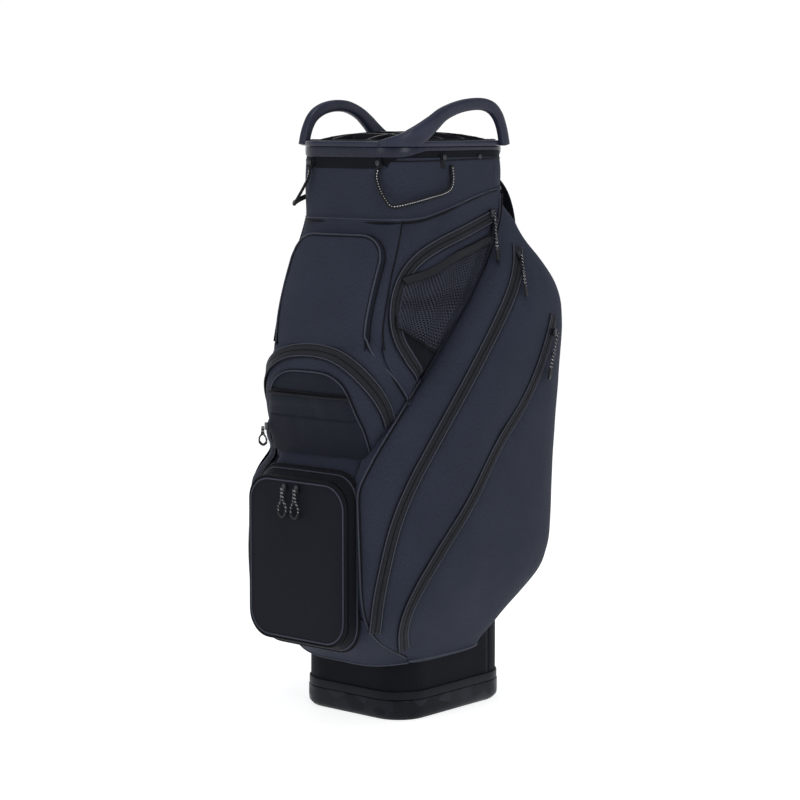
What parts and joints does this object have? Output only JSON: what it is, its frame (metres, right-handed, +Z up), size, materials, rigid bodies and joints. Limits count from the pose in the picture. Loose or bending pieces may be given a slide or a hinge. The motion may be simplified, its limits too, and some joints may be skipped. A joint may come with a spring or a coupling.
{
  "type": "golf bag",
  "caption": "Upright golf cart bag: rounded carrying tube with club dividers, two moulded grips, zipped side pockets, hinged ball pocket and a flat moulded foot.",
  "frame": {"origin": "centre of the flat underside of the moulded foot, on the floor", "axes": "+Z up, the ball pocket faces -Y, the spine and shoulder strap are on +Y, +X is the wearer's right when looking at the ball pocket"},
  "size_m": [0.3878, 0.4318, 0.8972],
  "materials": {
    "apparel_pocket_left": "woven, matte",
    "apparel_pocket_right": "woven, matte",
    "ball_pocket": "woven, matte",
    "ball_pocket_panel": "woven, matte",
    "base_foot": "satin",
    "base_trim_band": "satin",
    "body_tube": "woven, matte",
    "collar_ring": "satin",
    "cuff": "woven, matte",
    "cuff_band": "satin",
    "divider_grid": "satin",
    "divider_sheet_left": "woven, matte",
    "divider_sheet_right": "woven, matte",
    "grab_loop_left": "woven, matte",
    "grab_loop_right": "woven, matte",
    "handle_ring": "satin",
    "loop_end_front_left": "woven, matte",
    "loop_end_front_right": "woven, matte",
    "loop_end_side_left": "woven, matte",
    "loop_end_side_right": "woven, matte",
    "lower_apron": "woven, matte",
    "mesh_pocket_left": "woven, matte",
    "mesh_pocket_right": "woven, matte",
    "middle_pocket": "woven, matte",
    "screw_back_left": "polished",
    "screw_back_right": "polished",
    "screw_front_left": "polished",
    "screw_front_right": "polished",
    "screw_left_back": "polished",
    "screw_left_front": "polished",
    "screw_right_back": "polished",
    "screw_right_front": "polished",
    "shoulder_strap": "woven, matte",
    "side_pocket_left": "woven, matte",
    "side_pocket_right": "woven, matte",
    "slot_pouch": "woven, matte",
    "spine_handle": "woven, matte",
    "spine_panel": "woven, matte",
    "strap_anchor_bottom": "satin",
    "strap_anchor_top": "satin",
    "upper_front_pocket": "woven, matte",
    "zip_pull_ball_inner": "matte",
    "zip_pull_ball_outer": "matte",
    "zip_pull_front_left": "matte",
    "zip_pull_front_right": "matte",
    "zip_pull_middle": "matte",
    "zip_pull_rear_left": "matte",
    "zip_pull_rear_right": "matte",
    "zip_pull_upper_left": "matte",
    "zip_pull_upper_right": "matte",
    "zip_slider_ball_inner": "satin",
    "zip_slider_ball_outer": "satin",
    "zip_slider_front_left": "satin",
    "zip_slider_front_right": "satin",
    "zip_slider_middle": "satin",
    "zip_slider_rear_left": "satin",
    "zip_slider_rear_right": "satin",
    "zip_slider_upper_left": "satin",
    "zip_slider_upper_right": "satin"
  },
  "bodies": {
    "bag": {"apparel_pocket_left": "apparel_pocket_left", "apparel_pocket_right": "apparel_pocket_right", "ball_pocket": "ball_pocket", "base_foot": "base_foot", "base_trim_band": "base_trim_band", "body_tube": "body_tube", "collar_ring": "collar_ring", "cuff": "cuff", "cuff_band": "cuff_band", "divider_grid": "divider_grid", "divider_sheet_left": "divider_sheet_left", "divider_sheet_right": "divider_sheet_right", "handle_ring": "handle_ring", "loop_end_front_left": "loop_end_front_left", "loop_end_front_right": "loop_end_front_right", "loop_end_side_left": "loop_end_side_left", "loop_end_side_right": "loop_end_side_right", "lower_apron": "lower_apron", "mesh_pocket_left": "mesh_pocket_left", "mesh_pocket_right": "mesh_pocket_right", "middle_pocket": "middle_pocket", "screw_back_left": "screw_back_left", "screw_back_right": "screw_back_right", "screw_front_left": "screw_front_left", "screw_front_right": "screw_front_right", "screw_left_back": "screw_left_back", "screw_left_front": "screw_left_front", "screw_right_back": "screw_right_back", "screw_right_front": "screw_right_front", "shoulder_strap": "shoulder_strap", "side_pocket_left": "side_pocket_left", "side_pocket_right": "side_pocket_right", "slot_pouch": "slot_pouch", "spine_handle": "spine_handle", "spine_panel": "spine_panel", "strap_anchor_bottom": "strap_anchor_bottom", "strap_anchor_top": "strap_anchor_top", "upper_front_pocket": "upper_front_pocket"},
    "ball_pocket_panel": {"ball_pocket_panel": "ball_pocket_panel"},
    "grab_loop_right": {"grab_loop_right": "grab_loop_right"},
    "grab_loop_left": {"grab_loop_left": "grab_loop_left"},
    "zip_pull_ball_inner": {"zip_pull_ball_inner": "zip_pull_ball_inner"},
    "zip_pull_ball_outer": {"zip_pull_ball_outer": "zip_pull_ball_outer"},
    "zip_pull_front_left": {"zip_pull_front_left": "zip_pull_front_left"},
    "zip_pull_front_right": {"zip_pull_front_right": "zip_pull_front_right"},
    "zip_pull_middle": {"zip_pull_middle": "zip_pull_middle"},
    "zip_pull_rear_left": {"zip_pull_rear_left": "zip_pull_rear_left"},
    "zip_pull_rear_right": {"zip_pull_rear_right": "zip_pull_rear_right"},
    "zip_pull_upper_left": {"zip_pull_upper_left": "zip_pull_upper_left"},
    "zip_pull_upper_right": {"zip_pull_upper_right": "zip_pull_upper_right"},
    "zip_slider_ball_inner": {"zip_slider_ball_inner": "zip_slider_ball_inner"},
    "zip_slider_ball_outer": {"zip_slider_ball_outer": "zip_slider_ball_outer"},
    "zip_slider_front_left": {"zip_slider_front_left": "zip_slider_front_left"},
    "zip_slider_front_right": {"zip_slider_front_right": "zip_slider_front_right"},
    "zip_slider_middle": {"zip_slider_middle": "zip_slider_middle"},
    "zip_slider_rear_left": {"zip_slider_rear_left": "zip_slider_rear_left"},
    "zip_slider_rear_right": {"zip_slider_rear_right": "zip_slider_rear_right"},
    "zip_slider_upper_left": {"zip_slider_upper_left": "zip_slider_upper_left"},
    "zip_slider_upper_right": {"zip_slider_upper_right": "zip_slider_upper_right"}
  },
  "joints": [
    {"name": "grab_loop_right_swing", "type": "hinge", "parent": "bag", "child": "grab_loop_right", "pos_m": [0.08945, -0.0839, 0.7935], "axis": [-0.3816, -0.9243, 0], "range_deg": [0, 30]},
    {"name": "grab_loop_left_swing", "type": "hinge", "parent": "bag", "child": "grab_loop_left", "pos_m": [-0.08945, -0.0839, 0.7935], "axis": [-0.3816, 0.9243, 0], "range_deg": [0, 30]},
    {"name": "ball_pocket_open", "type": "hinge", "parent": "bag", "child": "ball_pocket_panel", "pos_m": [0, -0.226, 0.112], "axis": [1, 0, 0], "range_deg": [0, 85]},
    {"name": "zip_slider_rear_right_run", "type": "slide", "parent": "bag", "child": "zip_slider_rear_right", "axis": [0, -0.2478, -0.9688], "range_m": [0, 0.03]},
    {"name": "zip_pull_rear_right_swing", "type": "hinge", "parent": "zip_slider_rear_right", "child": "zip_pull_rear_right", "pos_m": [0.19257, 0.12293, 0.55578], "axis": [0.099, -0.9951, 0], "range_deg": [0, 70]},
    {"name": "zip_slider_front_right_run", "type": "slide", "parent": "bag", "child": "zip_slider_front_right", "axis": [0.6065, -0.1569, -0.7794], "range_m": [0, 0.018]},
    {"name": "zip_pull_front_right_swing", "type": "hinge", "parent": "zip_slider_front_right", "child": "zip_pull_front_right", "pos_m": [0.15538, 0.08307, 0.67276], "axis": [-0.2759, -0.9612, 0], "range_deg": [0, 70]},
    {"name": "zip_slider_upper_right_run", "type": "slide", "parent": "bag", "child": "zip_slider_upper_right", "axis": [0, 0, -1], "range_m": [-0.004, 0.002]},
    {"name": "zip_pull_upper_right_swing", "type": "hinge", "parent": "zip_slider_upper_right", "child": "zip_pull_upper_right", "pos_m": [0.11807, 0.06615, 0.73], "axis": [-0.14, -0.9901, 0], "range_deg": [0, 70]},
    {"name": "zip_slider_rear_left_run", "type": "slide", "parent": "bag", "child": "zip_slider_rear_left", "axis": [0, -0.2478, -0.9688], "range_m": [0, 0.03]},
    {"name": "zip_pull_rear_left_swing", "type": "hinge", "parent": "zip_slider_rear_left", "child": "zip_pull_rear_left", "pos_m": [-0.19257, 0.12293, 0.55578], "axis": [0.099, 0.9951, 0], "range_deg": [0, 70]},
    {"name": "zip_slider_front_left_run", "type": "slide", "parent": "bag", "child": "zip_slider_front_left", "axis": [-0.6065, -0.1569, -0.7794], "range_m": [0, 0.018]},
    {"name": "zip_pull_front_left_swing", "type": "hinge", "parent": "zip_slider_front_left", "child": "zip_pull_front_left", "pos_m": [-0.15538, 0.08307, 0.67276], "axis": [-0.2759, 0.9612, 0], "range_deg": [0, 70]},
    {"name": "zip_slider_upper_left_run", "type": "slide", "parent": "bag", "child": "zip_slider_upper_left", "axis": [0, 0, -1], "range_m": [-0.004, 0.002]},
    {"name": "zip_pull_upper_left_swing", "type": "hinge", "parent": "zip_slider_upper_left", "child": "zip_pull_upper_left", "pos_m": [-0.11807, 0.06615, 0.73], "axis": [-0.14, 0.9901, 0], "range_deg": [0, 70]},
    {"name": "zip_slider_ball_outer_run", "type": "slide", "parent": "ball_pocket_panel", "child": "zip_slider_ball_outer", "axis": [1, 0, 0], "range_m": [-0.034, 0.008]},
    {"name": "zip_pull_ball_outer_swing", "type": "hinge", "parent": "zip_slider_ball_outer", "child": "zip_pull_ball_outer", "pos_m": [-0.02, -0.2405, 0.3455], "axis": [-1, 0, 0], "range_deg": [0, 70]},
    {"name": "zip_slider_ball_inner_run", "type": "slide", "parent": "ball_pocket_panel", "child": "zip_slider_ball_inner", "axis": [1, 0, 0], "range_m": [-0.006, 0.05]},
    {"name": "zip_pull_ball_inner_swing", "type": "hinge", "parent": "zip_slider_ball_inner", "child": "zip_pull_ball_inner", "pos_m": [0.004, -0.2405, 0.3455], "axis": [-1, 0, 0], "range_deg": [0, 70]},
    {"name": "zip_slider_middle_run", "type": "slide", "parent": "bag", "child": "zip_slider_middle", "axis": [0, 0, -1], "range_m": [0, 0.008]},
    {"name": "zip_pull_middle_swing", "type": "hinge", "parent": "zip_slider_middle", "child": "zip_pull_middle", "pos_m": [-0.09546, -0.20091, 0.424], "axis": [-0.8944, 0.4472, 0], "range_deg": [0, 70]}
  ]
}
